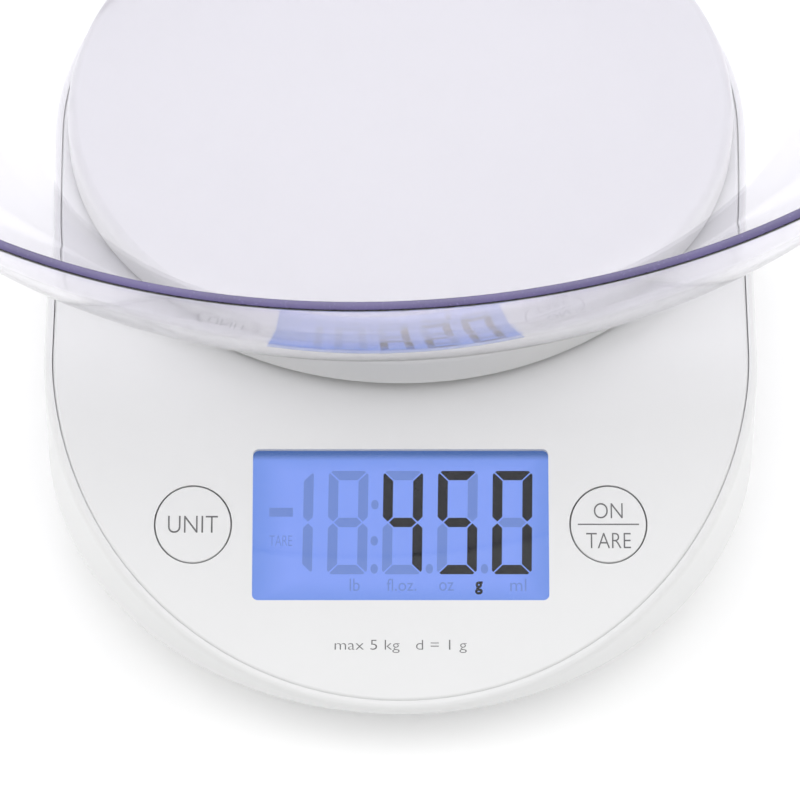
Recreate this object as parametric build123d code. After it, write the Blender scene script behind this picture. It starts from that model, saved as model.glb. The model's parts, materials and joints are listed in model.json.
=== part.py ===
from build123d import *
from math import atan2, cos, degrees, radians, sin, sqrt, tan
import os

# Electronic kitchen scale: a low casing with a sloping display panel, a round tray carried by a
# load cell, and a lift-off oval mixing bowl.  Millimetres, +Z up, display towards -Y.
# Pieces are drawn with the tray's axis at x = y = 0 and the table at z = 0; when they are written
# they move back by tray_y, so that the origin is the middle of the whole footprint.

# ---- casing -------------------------------------------------------------------------------------
body_width = 165.0  # side to side
front_reach = 151.3  # tray axis to the front tip
edge_height = 14.25  # top of the rim at the front tip
deck_height = 42.0  # flat part round the tray
panel_slope = 20.0  # degrees
panel_blend = 60.0  # radius of the bend from panel to deck
base_height = 2.5  # underside above the table
undercut_height = 9.8  # the saucer-like underside: how high it climbs
undercut_inset = 12.0  # and how far it reaches in
shoulder_radius = 1.0
base_edge_radius = 3.0
case_wall = 2.2
rim_width = 1.9  # band of lower case seen round the cover
rim_edge_radius = 1.6
ledge_width = 2.0
ledge_thickness = 2.5
seam_gap = 0.12

# ---- top cover ----------------------------------------------------------------------------------
cover_thickness = 2.4
cover_skirt_depth = 6.0
skirt_wall = 1.8
cover_edge_radius = 0.9

# ---- display ------------------------------------------------------------------------------------
display_back = 41.6  # front tip to the middle of the display
display_width = 67.8
display_height = 36.5
display_corner = 1.4
window_thickness = 1.2
window_lap = 2.0  # how far the window reaches under the cover
lcd_thickness = 2.8
guide_thickness = 3.0
holder_wall = 2.0
slip = 0.1  # between pieces that drop into each other
lcd_overlap = 1.2  # glass hidden under each edge of the window opening
pane_corner = 0.4
holder_corner = 1.6
holder_inner_corner = 0.5
zebra_width = 1.6
strip_gap = 0.5
strip_end = 3.0  # glass beyond each end of a contact strip
lamp_size = 3.0
lamp_height = 1.4

# ---- buttons and switches -----------------------------------------------------------------------
key_space = 13.6  # display's side to the middle of a key
button_hole = 17.9  # round as seen from above
button_gap = 0.35
button_flange = 1.4
button_flange_thickness = 1.2
button_stem_radius = 2.6
button_play = 0.1  # flange below the cover
button_travel = 0.6
stem_play = 0.2  # stem above the pressed switch
key_edge_radius = 0.25
switch_size = 6.0
switch_height = 3.2
plunger_radius = 1.7
plunger_foot = 0.6
plunger_gap = 0.06
switch_floor = 0.4
switch_lid = 0.5
plunger_play = 0.05
plunger_reserve = 0.3  # below the plunger's foot at full travel

# ---- circuit board ------------------------------------------------------------------------------
board_depth = 9.2  # panel surface to the board
board_thickness = 1.6
board_reach = 23.1  # board beyond each side of the display
board_height = 40.0
board_clear = 9.0  # casing outline to the board
board_corner = 2.0
board_post_radius = 2.6
board_screw_space = 9.6  # display's side to a board screw
board_screw_y = 15.5
connector_size = (9.0, 5.0, 4.0)
cell_connector_x = -16.0
power_connector_x = 33.0
chip_radius = 6.0
chip_height = 1.4
chip_place = (6.0, -4.0)
# capacitors on the back of the board: x, y, width, height, thickness
capacitors = (
    (-24.0, -6.0, 3.2, 1.6, 1.2),
    (-30.0, 2.0, 3.2, 1.6, 1.2),
    (22.0, -9.0, 2.0, 1.2, 0.9),
    (26.0, -2.0, 2.0, 1.2, 0.9),
)
crystal_place = (-8.0, 8.0)
crystal_radius = 1.5
crystal_length = 7.0

# ---- load cell ----------------------------------------------------------------------------------
cell_length = 80.0
cell_side = 12.7
cell_bottom = 12.0
cell_bore_radius = 4.6
cell_bore_spread = 8.0
cell_slot = 2.6
cell_edge = 0.4
cell_screw_inner = 26.0
cell_screw_outer = 35.0
cell_plinth = 8.0  # top of the case plinth under the fixed end
plinth_side = 1.5
plinth_end = 1.0
cell_end_margin = 6.0  # seats reach this far past their screws
spacer_margin = 5.0
seal_thickness = 0.8
seal_inset = 1.25

# ---- tray and its support -----------------------------------------------------------------------
tray_radius = 79.0
tray_gap = 1.0  # deck to the tray's lower edge
tray_height = 9.0
tray_wall = 2.5
tray_edge_radius = 2.6
tray_travel = 0.5
stop_gap = tray_travel + 0.3
support_bottom = 33.0
support_thickness = 3.0
support_hub_radius = 26.0
support_arm_width = 13.0
support_tongue_width = 18.0
support_foot_width = 14.0
support_foot_lap = 1.0
tray_screw_circle = 36.0
tray_boss_radius = 4.6
deck_hole_radius = 6.2
stop_circle = 20.0
stop_radius = 2.8

# ---- bowl ---------------------------------------------------------------------------------------
bowl_long = 152.0  # rim half-axes
bowl_short = 118.0
bowl_wall = 2.6
bowl_turn = 7.5  # degrees, as it sits on the tray
bowl_rest_gap = 0.2
# side of the bowl, from the foot up: radius of each arc and the slope that it ends at
bowl_arcs = ((36.0, 35.0), (85.0, 70.0), (265.0, 73.5))
bowl_foot_oval = 0.45  # how much of the rim's oval the foot already has
bowl_fill = 0.8  # how early the rest comes in on the way up
bowl_steps = 4  # sections per arc
bowl_edge_radius = 0.7

# ---- batteries ----------------------------------------------------------------------------------
battery_radius = 5.25
battery_length = 44.5
battery_nub_radius = 1.9
battery_nub = 1.2
battery_pitch = 12.0
battery_x = 42.0
battery_edge = 0.5
battery_floor_gap = 0.8
bay_length = 52.0
bay_wall = 1.6
bay_side_gap = 0.5
door_thickness = 2.0
door_inner_x = 26.0
door_tongue = 1.5
door_tongue_thickness = 0.9
door_play = 0.1
door_side = 0.8  # door beyond each end of the bay
pad_lap = 2.0
rail_width = 4.0
grip_count = 5
grip_pitch = 2.4
grip_width = 1.2
grip_length = 18.0
grip_depth = 0.6
grip_start = 6.0  # in from the flat underside's edge
pad_thickness = 2.0
spring_radius = 3.2
spring_wire = 0.35
plate_thickness = 0.4
spring_turns = 4
plate_half_height = 4.2
plate_half_width = 4.4

# ---- feet and screws ----------------------------------------------------------------------------
foot_radius = 6.0
foot_recess = 0.9
foot_edge = 0.6
foot_x = 48.0
foot_front_back = 62.0  # front feet behind the front tip
foot_back_y = 38.0
front_screw = (18.0, 18.8)  # from the middle line, and behind the front tip
side_screw = (22.5, -42.0)  # in from the side, and from the tray's axis
back_screw = (34.0, 53.0)  # from the tray's axis
case_boss_radius = 3.4
case_boss_height = 6.2
case_boss_collar = 0.8  # lower boss wider than the upper
screw_gap = 0.02  # round a screw in its own thread
screw_clearance = 0.3  # round a screw that passes through

# ---- screws: head radius, head height, thread radius, length under the head ---------------------
case_screw = (2.8, 1.9, 1.4, 9.0)
cell_screw = (3.6, 2.4, 2.0, 13.6)
support_screw = (3.4, 2.2, 2.0, 18.0)
tray_screw = (2.8, 1.9, 1.4, 9.0)
board_screw = (2.2, 1.4, 1.0, 5.5)
case_screw_sink = 2.6  # seats above the underside
cell_screw_sink = 2.8
head_rounding = 0.3  # the head's rounding and cross recess, as shares of its size
recess_length = 1.1
recess_width = 0.24
recess_depth = 0.5

# ---- leads --------------------------------------------------------------------------------------
wire_radius = 1.1
lead_bend = 4.0
lead_gap = 0.5  # from the middle line between a header's two leads
lead_drop = 7.0  # straight down from a header
bay_lead_out = 16.0  # battery leads: straight out of the bay
bay_lead_turn = 38.0  # and the bend towards the header
lead_floor = 4.0  # leads above the case floor
cell_lead_side = 3.0
cell_lead_first = -6.0  # bends of the load cell's leads, from the tray's axis
cell_lead_second = -60.0
cell_lead_rise = 5.0

# ---- worked out from the above ------------------------------------------------------------------
margin = 60.0  # tools reach this far past what they cut
half_width = body_width / 2
front_centre = -(front_reach - half_width)
case_screw_places = (
    (front_screw[0], front_screw[1] - front_reach),
    (half_width - side_screw[0], side_screw[1]),
    back_screw,
)
slope = radians(panel_slope)
undercut_angle = atan2(undercut_height, undercut_inset)
floor_top = base_height + case_wall
tray_bottom = deck_height + tray_gap
tray_top = tray_bottom + tray_height
cell_top = cell_bottom + cell_side
support_top = support_bottom + support_thickness
board_back = -(board_depth + board_thickness)
turn = radians(bowl_turn)
bowl_reach = sqrt((bowl_long * sin(turn)) ** 2 + (bowl_short * cos(turn)) ** 2)
tray_y = (front_reach - max(bowl_reach, half_width)) / 2
door_top = base_height + door_thickness
battery_z = door_top + battery_floor_gap + battery_radius
bay_width = battery_pitch + 2 * (battery_radius + bay_side_gap)
bay_top = battery_z + battery_radius + bay_side_gap
case_screw_seat = base_height + case_screw_sink
cell_screw_seat = base_height + cell_screw_sink
stop_top = support_bottom - stop_gap
lcd_top = -cover_thickness - slip
lcd_bottom = lcd_top - lcd_thickness
guide_bottom = lcd_bottom - guide_thickness
lcd_width = display_width + 2 * lcd_overlap
button_spread = display_width / 2 + key_space
board_width = display_width + 2 * board_reach
board_screw_x = display_width / 2 + board_screw_space
lcd_height = display_height + 2 * lcd_overlap
guide_height = lcd_height - 2 * (zebra_width + strip_gap)
switch_top = -board_depth + switch_height
stem_bottom = switch_top + button_travel + stem_play
panel = Plane(
    origin=(0, -front_reach + display_back, edge_height + display_back * tan(slope)),
    x_dir=(1, 0, 0),
    z_dir=(0, -sin(slope), cos(slope)),
).location

LOW = (Align.CENTER, Align.CENTER, Align.MIN)
HIGH = (Align.CENTER, Align.CENTER, Align.MAX)


def rod(radius, low, high, x=0.0, y=0.0):
    """Upright cylinder between two heights."""
    return Pos(x, y, low) * Cylinder(radius, high - low, align=LOW)


def block(x, y, z):
    """Box between pairs of x, y and z."""
    size = (x[1] - x[0], y[1] - y[0], z[1] - z[0])
    return Pos(x[0], y[0], z[0]) * Box(*size, align=(Align.MIN, Align.MIN, Align.MIN))


def group(pieces):
    """Several like pieces as one node."""
    return Compound([solid for piece in pieces for solid in piece.solids()])


def slab(width, height, corner, low, high):
    """Rounded plate lying parallel to the panel, between two depths on the panel's normal."""
    return panel * (Pos(0, 0, low) * extrude(RectangleRounded(width, height, corner), high - low))


def plan(inset):
    """The casing's outline: straight sides and two half circles, drawn in by inset."""
    sides = -front_centre
    outline = SlotCenterToCenter(sides, 2 * (half_width - inset), rotation=90)
    return Pos(0, front_centre / 2) * outline


def column(inset):
    """Upright prism on the casing's outline."""
    return extrude(plan(inset), deck_height + margin)


def below_top(depth):
    """Everything under the casing's top surface, or under that surface sunk by depth."""
    drop = depth / cos(slope)
    kink_y = -front_reach + (deck_height - edge_height - depth + drop) / tan(slope)
    top = deck_height - depth
    tangent = (panel_blend - depth) * tan(slope / 2)
    start = (-front_reach - margin, edge_height - drop - margin * tan(slope))
    bend_start = (kink_y - tangent * cos(slope), top - tangent * sin(slope))
    bend_end = (kink_y + tangent, top)
    back = half_width + margin
    rise = Line(start, bend_start)
    bend = TangentArc(bend_start, bend_end, tangent=(cos(slope), sin(slope)))
    rest = Polyline(bend_end, (back, top), (back, -2 * margin), (start[0], -2 * margin), start)
    section = Plane.YZ * make_face(rise + bend + rest)
    return extrude(section, body_width, both=True)


def saucer(wall):
    """Space above the casing's dished underside moved in by a wall, spreading past the sides."""
    low_inset = undercut_inset * (1 - wall / undercut_height) + wall / sin(undercut_angle)
    low = base_height + wall
    flare = degrees(undercut_angle) - 90
    return extrude(Pos(0, 0, low) * plan(low_inset), deck_height + margin - low, taper=flare)


def casing(wall):
    """The casing's solid form moved in by a wall: dished underside, upright sides, no top."""
    return column(wall) & saucer(wall)


def outer_casing():
    """Casing before it is hollowed, with its rounded rim, shoulder and base edge."""
    rim = column(0) & below_top(0)
    form = fillet(top_rim(rim), rim_edge_radius) & saucer(0)
    shoulder_z = base_height + undercut_height
    shoulder = form.edges().filter_by_position(Axis.Z, shoulder_z - 0.01, shoulder_z + 0.01)
    form = fillet(shoulder, shoulder_radius)
    base_edge = form.faces().sort_by(Axis.Z)[0].edges()
    return fillet(base_edge, base_edge_radius)


def top_rim(form):
    """Edges where a prism's sides meet the casing's top surface."""
    upright = [f for f in form.faces() if abs(f.normal_at().Z) < 0.01]
    edges = ShapeList(e for f in upright for e in f.edges())
    return edges.filter_by(lambda e: (e @ 0.5).Z > edge_height - 1 and not vertical(e))


def vertical(edge):
    """Whether an edge stands upright."""
    return abs((edge % 0.5).Z) > 0.99


def mirrored(places):
    """Each place on the right and its twin on the left."""
    return [(side * x, y) for x, y in places for side in (1, -1)]


def ring_places(circle):
    """Four places on a circle, on the diagonals."""
    return [(circle * cos(radians(a)), circle * sin(radians(a))) for a in (45, 135, 225, 315)]


def foot_places():
    """Middles of the four feet."""
    return mirrored(((foot_x, foot_front_back - front_reach), (foot_x, foot_back_y)))


def board_screw_places():
    """The four board screws, in the panel's own x and y."""
    return [(x, y) for x in (-board_screw_x, board_screw_x) for y in (-board_screw_y, board_screw_y)]


def screw(x, y, z, head_radius, head_height, radius, length):
    """Screw driven upwards, the outer face of its head at z, with a cross recess."""
    head = Cylinder(head_radius, head_height, align=LOW)
    head = fillet(head.edges().sort_by(Axis.Z)[0], head_height * head_rounding)
    body = head + Pos(0, 0, head_height) * Cylinder(radius, length, align=LOW)
    slot = (head_radius * recess_length, head_radius * recess_width, head_height * recess_depth)
    for angle in (0, 90):
        body -= Rot(0, 0, angle) * Box(*slot, align=LOW)
    return Pos(x, y, z) * body


def screw_hole(size, x, y, low, high, gap):
    """Hole for a screw's thread."""
    return rod(size[2] + gap, low, high, x, y)


def head_hole(size, x, y, low, high):
    """Sunk seat for a screw's head."""
    return rod(size[0] + screw_clearance, low, high, x, y)


def lower_case():
    """Casing bottom: rim, ledge for the cover, bosses, load cell plinth, battery bay, door rails."""
    form = outer_casing()
    ledge = rim_width + ledge_width
    case = form - (casing(rim_width) - below_top(cover_skirt_depth))
    case -= casing(ledge) & below_top(cover_skirt_depth - slip)
    case -= casing(case_wall) & below_top(cover_skirt_depth + ledge_thickness)
    boss_top = base_height + case_boss_height
    for x, y in mirrored(case_screw_places):
        case += rod(case_boss_radius + case_boss_collar, floor_top - 1, boss_top, x, y)
        case -= head_hole(case_screw, x, y, 0, case_screw_seat)
        case -= screw_hole(case_screw, x, y, 0, margin, screw_clearance)
    for x, y in ring_places(stop_circle):
        case += rod(stop_radius, floor_top - 1, stop_top, x, y)
    case += cell_plinth_block()
    for y in (cell_screw_inner, cell_screw_outer):
        case -= head_hole(cell_screw, 0, y, 0, cell_screw_seat)
        case -= screw_hole(cell_screw, 0, y, 0, margin, screw_clearance)
    case = case + battery_bay(form) - bay_space() - door_channel(door_play)
    for x, y in foot_places():
        case -= rod(foot_radius + slip, 0, base_height + foot_recess, x, y)
    return case


def cell_plinth_block():
    """Raised seat under the load cell's fixed end."""
    half = cell_side / 2 + plinth_side
    ends = (cell_screw_inner - cell_end_margin, cell_length / 2 + plinth_end)
    return block((-half, half), ends, (floor_top - 1, cell_plinth))


def battery_bay(form):
    """Walls and roof of the battery bay, and the pad over the door's rails."""
    half_x = bay_width / 2 + bay_wall
    half_y = bay_length / 2 + bay_wall
    walls = block(
        (battery_x - half_x, battery_x + half_x),
        (-half_y, half_y),
        (floor_top - 1, bay_top + bay_wall),
    )
    rails = bay_length / 2 + door_tongue + rail_width
    heights = (base_height, door_top + pad_thickness)
    pad = block((door_inner_x - pad_lap, half_width), (-rails, rails), heights)
    return walls + (pad & form)


def bay_space():
    """Room for the two cells and their contacts."""
    return block(
        (battery_x - bay_width / 2, battery_x + bay_width / 2),
        (-bay_length / 2, bay_length / 2),
        (0, bay_top),
    )


def door_channel(play):
    """Section of the door's track, wider by the play all round."""
    run = (door_inner_x - play, half_width + margin)
    half = bay_length / 2 + door_side + play
    lane = block(run, (-half, half), (-margin, door_top + play))
    tongue = half + door_tongue
    groove_low = door_top - door_tongue_thickness - play
    return lane + block(run, (-tongue, tongue), (groove_low, door_top + play))


def battery_door():
    """Sliding door, flush with the underside, with finger grooves near its outer end."""
    door = door_channel(0) & outer_casing()
    half_length = grip_length / 2
    for step in range(grip_count):
        x = half_width - undercut_inset - grip_start - grip_pitch * step
        ends = (x - grip_width / 2, x + grip_width / 2)
        door -= block(ends, (-half_length, half_length), (0, base_height + grip_depth))
    return door


def top_cover():
    """Panel and deck in one shell, with the window, button and tray openings and its bosses."""
    inset = rim_width + seam_gap
    form = column(inset) & below_top(0)
    form = fillet(top_rim(form), cover_edge_radius)
    cover = (form & saucer(inset)) - below_top(cover_skirt_depth - slip)
    cover -= casing(inset + skirt_wall) & below_top(cover_thickness)
    under = below_top(cover_thickness / 2)
    boss_low = base_height + case_boss_height
    for x, y in mirrored(case_screw_places):
        cover += rod(case_boss_radius, boss_low, margin, x, y) & under
        cover -= screw_hole(case_screw, x, y, 0, case_screw_seat + case_screw[3] + 1, screw_gap)
    for x, y in board_screw_places():
        cover += panel * rod(board_post_radius, -board_depth, -cover_thickness / 2, x, y)
        cover -= panel * rod(board_screw[2] + screw_gap, -board_depth, -cover_thickness, x, y)
    cover -= slab(display_width, display_height, display_corner, -cover_thickness - 1, 1)
    cover -= slab(*window_size(slip), -cover_thickness - 0.01, -cover_thickness + window_thickness)
    for x in (-button_spread, button_spread):
        cover -= key_form(x, button_hole / 2, -cover_thickness - 1, 1)
    for x, y in ring_places(tray_screw_circle):
        cover -= rod(deck_hole_radius, support_top, deck_height + 1, x, y)
    return cover


def window_size(gap):
    """Width, height and corner radius of the display window."""
    return (
        display_width + 2 * (window_lap + gap),
        display_height + 2 * (window_lap + gap),
        display_corner + window_lap,
    )


def display_window():
    """Clear window seated in the cover's pocket."""
    top = -cover_thickness + window_thickness
    return slab(*window_size(0), -cover_thickness, top)


def lcd_panel():
    """Glass cell of the display."""
    return slab(lcd_width, lcd_height, pane_corner, lcd_bottom, lcd_top)


def led_blocks(size, height):
    """Blocks at the two lamp places, in the light guide's front edge."""
    y = (lamp_size + 2 * slip - guide_height) / 2
    return [
        panel * (Pos(x, y, -board_depth) * Box(size, size, height, align=LOW))
        for x in (-lcd_width / 4, lcd_width / 4)
    ]


def light_guide():
    """Backlight plate behind the glass, between the contact strips, with a notch for each lamp."""
    plate = slab(lcd_width, guide_height, pane_corner, guide_bottom, lcd_bottom)
    for notch in led_blocks(lamp_size + 2 * slip, lamp_height + slip):
        plate -= notch
    return plate


def backlight_leds():
    """Two side-firing lamps on the board, in the light guide's notches."""
    return group(led_blocks(lamp_size, lamp_height))


def lcd_frame():
    """Holder round the glass and the light guide, standing on the board."""
    ends = (-board_depth, lcd_top)
    outer = slab(lcd_width + 2 * holder_wall, lcd_height + 2 * holder_wall, holder_corner, *ends)
    inner = slab(lcd_width + 2 * slip, lcd_height + 2 * slip, holder_inner_corner, *ends)
    return outer - inner


def zebra_strips():
    """Rubber contact strips between the glass and the board, one along each long side."""
    y = lcd_height / 2 - zebra_width / 2
    size = (lcd_width - 2 * strip_end, zebra_width, lcd_bottom + board_depth)
    return group(
        [panel * (Pos(0, side * y, -board_depth) * Box(*size, align=LOW)) for side in (-1, 1)]
    )


def circuit_board():
    """Board parallel to the panel, its ends cut to the casing's outline."""
    board = slab(board_width, board_height, board_corner, board_back, -board_depth)
    board &= column(board_clear)
    for x, y in board_screw_places():
        hole = board_screw[2] + screw_clearance
        board -= panel * rod(hole, board_back - 1, -board_depth + 1, x, y)
    return board


def controller_chip():
    """Epoxy blob over the controller, on the back of the board."""
    dome_radius = (chip_radius**2 + chip_height**2) / (2 * chip_height)
    ball = Pos(0, 0, dome_radius - chip_height) * Sphere(dome_radius)
    cap = ball & Box(4 * chip_radius, 4 * chip_radius, chip_height, align=HIGH)
    return panel * (Pos(*chip_place, board_back) * cap)


def board_parts():
    """Capacitors and crystal on the back of the board."""
    parts = [
        panel * (Pos(x, y, board_back) * Box(width, height, thickness, align=HIGH))
        for x, y, width, height, thickness in capacitors
    ]
    can = Cylinder(crystal_radius, crystal_length, rotation=(0, 90, 0))
    parts.append(panel * (Pos(*crystal_place, board_back - crystal_radius) * can))
    return group(parts)


def wire_connectors():
    """Two pin headers on the back of the board: load cell and battery leads."""
    y = board_height / 2 - connector_size[1]
    return group(
        [
            panel * (Pos(x, y, board_back) * Box(*connector_size, align=HIGH))
            for x in (cell_connector_x, power_connector_x)
        ]
    )


def key_form(x, radius, low, high):
    """Upright form on the panel that is round as seen from above."""
    outline = Ellipse(radius, radius / cos(slope))
    return panel * (Pos(x, 0, low) * extrude(outline, high - low))


def button(x):
    """Round key: cap flush with the panel, flange under the cover, stem down to the plunger."""
    flange_top = -cover_thickness - button_play
    flange_low = flange_top - button_flange_thickness
    cap = key_form(x, button_hole / 2 - button_gap, flange_low, 0)
    face = cap.faces().sort_by(lambda f: f.center().Z)[-1]
    cap = fillet(face.edges(), key_edge_radius)
    flange = key_form(x, button_hole / 2 + button_flange, flange_low, flange_top)
    return cap + flange + panel * rod(button_stem_radius, stem_bottom, flange_low, x)


def switch_housing(x):
    """Push switch on the board, hollow for its plunger."""
    body = Pos(0, 0, -board_depth) * Box(switch_size, switch_size, switch_height, align=LOW)
    low = -board_depth + switch_floor
    body -= rod(plunger_radius + plunger_foot + plunger_gap, low, switch_top - switch_lid)
    body -= rod(plunger_radius + plunger_gap, low, switch_top + 1)
    return panel * (Pos(x, 0, 0) * body)


def switch_plunger(x):
    """The switch's own pin: a foot inside the housing and a shank up to the key's stem."""
    foot_low = -board_depth + switch_floor + button_travel + plunger_reserve
    foot = rod(plunger_radius + plunger_foot, foot_low, switch_top - switch_lid - plunger_play)
    shank = rod(plunger_radius, foot_low, stem_bottom)
    return panel * (Pos(x, 0, 0) * (foot + shank))


def board_screws():
    """Four screws from behind the board into the cover's posts."""
    z = board_back - board_screw[1]
    return group([panel * screw(x, y, z, *board_screw) for x, y in board_screw_places()])


def load_cell():
    """Aluminium bending bar with its twin bore, fixed at the back and loaded at the front."""
    half = cell_length / 2
    bar = block((-cell_side / 2, cell_side / 2), (-half, half), (cell_bottom, cell_top))
    bar = chamfer(bar.edges().filter_by(Axis.Y), cell_edge)
    middle = cell_bottom + cell_side / 2
    for y in (-cell_bore_spread, cell_bore_spread):
        bar -= Pos(0, y, middle) * Cylinder(cell_bore_radius, 2 * cell_side, rotation=(0, 90, 0))
    bar -= Pos(0, 0, middle) * Box(2 * cell_side, 2 * cell_bore_spread, cell_slot)
    for y in (cell_screw_inner, cell_screw_outer):
        bar -= screw_hole(cell_screw, 0, y, 0, margin, screw_gap)
        bar -= screw_hole(support_screw, 0, -y, 0, margin, slip)
    return bar


def gauge_seals():
    """White sealing compound over the strain gauges, above and below the bores."""
    size = (cell_side - 2 * seal_inset, 2 * (cell_bore_spread + cell_bore_radius), seal_thickness)
    top = Pos(0, 0, cell_top) * Box(*size, align=LOW)
    bottom = Pos(0, 0, cell_bottom) * Box(*size, align=HIGH)
    return group([top, bottom])


def cell_spacer():
    """Metal block between the case plinth and the load cell's fixed end."""
    half = cell_side / 2
    ends = (cell_screw_inner - spacer_margin, cell_length / 2)
    spacer = block((-half, half), ends, (cell_plinth, cell_bottom))
    for y in (cell_screw_inner, cell_screw_outer):
        spacer -= screw_hole(cell_screw, 0, y, 0, margin, screw_clearance)
    return spacer


def cell_screws():
    """Two screws from the underside into the load cell's fixed end."""
    z = cell_screw_seat - cell_screw[1]
    return group(
        [screw(0, y, z, *cell_screw) for y in (cell_screw_inner, cell_screw_outer)]
    )


def support_screws():
    """Two screws up through the load cell's free end into the tray support."""
    z = cell_bottom - support_screw[1]
    return group(
        [screw(0, -y, z, *support_screw) for y in (cell_screw_inner, cell_screw_outer)]
    )


def tray_support():
    """Star-shaped plate under the deck, with a foot on the load cell's free end."""
    plate = rod(support_hub_radius, support_bottom, support_top)
    reach = tray_screw_circle + support_arm_width / 2
    for angle in (45, 135, 225, 315):
        arm = Box(reach, support_arm_width, support_thickness, align=LOW)
        plate += Rot(0, 0, angle) * (Pos(reach / 2, 0, support_bottom) * arm)
    tongue, foot = support_tongue_width / 2, support_foot_width / 2
    end = -(cell_screw_outer + cell_end_margin)
    foot_end = -(cell_screw_inner - cell_end_margin)
    plate += block((-tongue, tongue), (end, 0), (support_bottom, support_top))
    plate += block((-foot, foot), (end, foot_end), (cell_top, support_bottom + support_foot_lap))
    for x, y in ring_places(tray_screw_circle):
        plate -= screw_hole(tray_screw, x, y, 0, margin, screw_clearance)
    for y in (cell_screw_inner, cell_screw_outer):
        plate -= screw_hole(support_screw, 0, -y, 0, cell_bottom + support_screw[3] + 1, screw_gap)
    return plate


def tray():
    """Round weighing tray, hollow beneath, on four posts that pass through the deck."""
    form = rod(tray_radius, tray_bottom, tray_top)
    form = fillet(form.edges().sort_by(Axis.Z)[-1], tray_edge_radius)
    form -= rod(tray_radius - tray_wall, tray_bottom - 1, tray_top - tray_wall)
    for x, y in ring_places(tray_screw_circle):
        form += rod(tray_boss_radius, support_top, tray_top - 1, x, y)
        form -= screw_hole(tray_screw, x, y, 0, support_bottom + tray_screw[3] + 1, screw_gap)
    return form


def tray_screws():
    """Four screws that hold the tray's posts to the support."""
    z = support_bottom - tray_screw[1]
    return group([screw(x, y, z, *tray_screw) for x, y in ring_places(tray_screw_circle)])


def bowl_profile():
    """Side of the bowl as (reach inwards from the rim, height, slope), from the foot up."""
    points = [(0.0, 0.0, 0.0)]
    slope_in = 0.0
    for radius, end in bowl_arcs:
        x, z, _ = points[-1]
        for step in range(1, bowl_steps + 1):
            angle = radians(slope_in + (end - slope_in) * step / bowl_steps)
            start = radians(slope_in)
            run = radius * (sin(angle) - sin(start))
            rise = radius * (cos(start) - cos(angle))
            points.append((x + run, z + rise, angle))
        slope_in = end
    reach = points[-1][0]
    return [(reach - run, rise, angle) for run, rise, angle in points]


def bowl_height():
    """Depth of the bowl from foot to rim."""
    return bowl_profile()[-1][1]


def bowl_form(wall):
    """Loft through the bowl's level sections, more oval towards the rim."""
    height = bowl_height()
    sections = []
    for inward, rise, angle in bowl_profile():
        share = bowl_foot_oval + (1 - bowl_foot_oval) * (rise / height) ** bowl_fill
        long = bowl_short + (bowl_long - bowl_short) * share - inward
        short = bowl_short - inward
        shrink = wall * sin(angle)
        level = rise + wall * cos(angle)
        sections.append(Pos(0, 0, level) * Ellipse(long - shrink, short - shrink))
    return loft(sections, ruled=True)


def bowl():
    """Lift-off mixing bowl standing on the tray."""
    hollow = bowl_form(bowl_wall)
    mouth = extrude(hollow.faces().sort_by(Axis.Z)[-1], 10)
    form = bowl_form(0) - (hollow + mouth)
    rim = form.faces().sort_by(Axis.Z)[-1].edges()
    form = fillet(rim, bowl_edge_radius)
    return Pos(0, 0, tray_top + bowl_rest_gap) * (Rot(0, 0, bowl_turn) * form)


def battery_line(side):
    """X of a cell's axis: the outer one at side 1, the inner one at -1."""
    return battery_x + side * battery_pitch / 2


def batteries():
    """Two AAA cells side by side, laid opposite ways, each with its nub on a contact plate."""
    can_length = battery_length - battery_nub
    can = Cylinder(battery_radius, can_length, align=LOW)
    cell = fillet(can.edges(), battery_edge) + rod(battery_nub_radius, can_length, battery_length)
    far = bay_length / 2 - plate_thickness - battery_length
    return group(
        [
            Pos(battery_line(side), side * far, battery_z) * Rot(-90 * side, 0, 0) * cell
            for side in (-1, 1)
        ]
    )


def battery_springs():
    """Coil springs against the flat end of each cell."""
    room = bay_length - 2 * plate_thickness - battery_length
    height = room - 3 * spring_wire
    path = Helix(height / spring_turns, height, spring_radius)
    coil = sweep(Plane(origin=path @ 0, z_dir=path % 0) * Circle(spring_wire), path, is_frenet=True)
    start = bay_length / 2 - plate_thickness - 1.5 * spring_wire
    return group(
        [
            Pos(battery_line(side), -side * start, battery_z) * Rot(-90 * side, 0, 0) * coil
            for side in (-1, 1)
        ]
    )


def contact_plates():
    """Contact plates: one joins both cells at the back, two take the leads at the front."""
    half = bay_length / 2
    tall = (battery_z - plate_half_height, battery_z + plate_half_height)
    wide = battery_pitch / 2 + plate_half_width
    plates = [block((battery_x - wide, battery_x + wide), (half - plate_thickness, half), tall)]
    for side in (-1, 1):
        x = battery_line(side)
        ends = (x - plate_half_width, x + plate_half_width)
        plates.append(block(ends, (-half, -half + plate_thickness), tall))
    return group(plates)


def lead(points):
    """Round wire along straight runs joined by arcs."""
    path = FilletPolyline(*points, radius=lead_bend)
    return sweep(Plane(origin=path @ 0, z_dir=path % 0) * Circle(wire_radius), path)


def header_points(x):
    """Last two points of a lead: below its header and on the header's face, at x on the board."""
    y = board_height / 2 - connector_size[1]
    face = board_back - connector_size[2]
    return [tuple((panel * Pos(x, y, z)).position) for z in (face - lead_drop, face)]


def battery_wires():
    """Two leads from the front contact plates to the power header."""
    leads = []
    for side in (-1, 1):
        start_x = battery_line(side)
        end_x = power_connector_x + side * (wire_radius + lead_gap)
        start_y = -bay_length / 2 - bay_wall
        route = [(start_x, start_y, battery_z), (start_x, start_y - bay_lead_out, battery_z)]
        route += [(end_x, start_y - bay_lead_turn, floor_top + lead_floor), *header_points(end_x)]
        leads.append(lead(route))
    return group(leads)


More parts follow.
